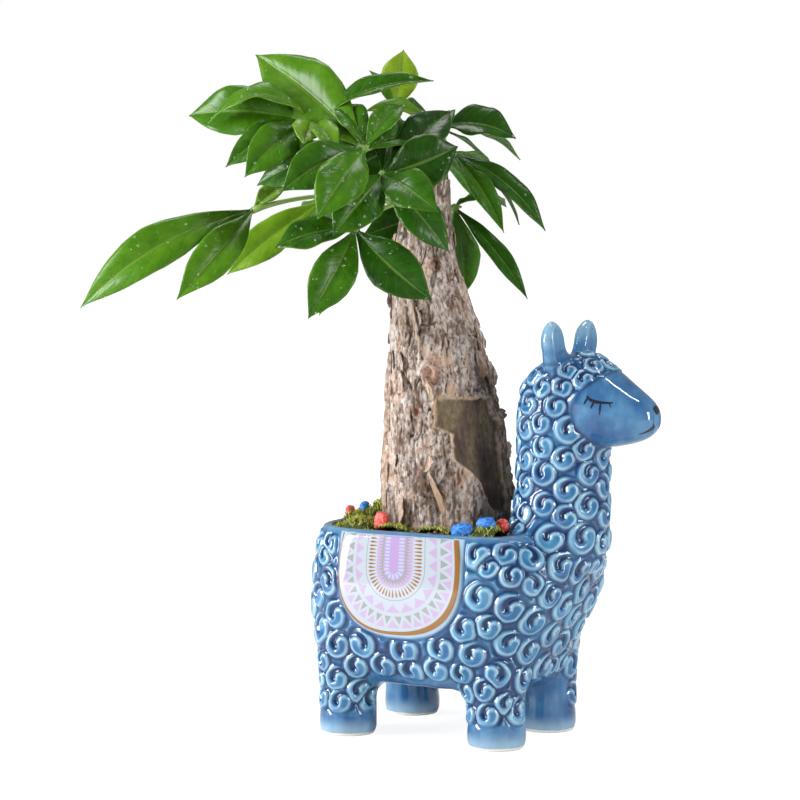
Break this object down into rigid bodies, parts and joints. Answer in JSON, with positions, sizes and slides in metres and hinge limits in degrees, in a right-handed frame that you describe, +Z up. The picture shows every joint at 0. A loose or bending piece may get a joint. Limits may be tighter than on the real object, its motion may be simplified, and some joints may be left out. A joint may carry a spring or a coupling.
{
  "type": "animal shaped planter",
  "caption": "Glazed pottery planter in the form of a standing alpaca, hollow in its back, with a lift-out potted money tree, moss and pebbles",
  "frame": {"origin": "on the floor, midway between the four feet", "axes": "+X to the animal's nose, +Y to its left, +Z up"},
  "size_m": [0.2372, 0.1888, 0.311],
  "materials": {
    "blue_glaze": "reactive blue and white glaze, glossy",
    "saddle_print": "transfer print under clear glaze",
    "soil": "matt, granular",
    "bark": "rough, flaking",
    "moss": "matt, fibrous",
    "red_stone": "dyed gravel, matt",
    "blue_stone": "dyed gravel, matt",
    "green_shoot": "satin",
    "leaf_green": "waxy, glossy"
  },
  "bodies": {
    "planter": {"planter_body": "blue_glaze", "saddle_print_right": "saddle_print", "saddle_print_left": "saddle_print"},
    "plant": {"root_ball": "soil", "trunk": "bark", "moss": "moss", "red_pebbles": "red_stone", "blue_pebbles": "blue_stone", "shoot_left": "green_shoot", "shoot_right": "green_shoot", "leaf_top_left": "leaf_green", "leaf_front_left": "leaf_green", "leaf_front": "leaf_green", "leaf_low_front": "leaf_green", "leaf_far_left": "leaf_green", "leaf_low_back_left": "leaf_green", "leaf_right": "leaf_green", "leaf_low_right": "leaf_green", "leaf_top_right": "leaf_green", "leaf_top": "leaf_green", "leaf_back": "leaf_green", "leaf_back_left": "leaf_green"}
  },
  "joints": [
    {"name": "plant_lift", "type": "slide", "parent": "planter", "child": "plant", "axis": [0, 0, 1], "range_m": [0, 0.165]}
  ]
}
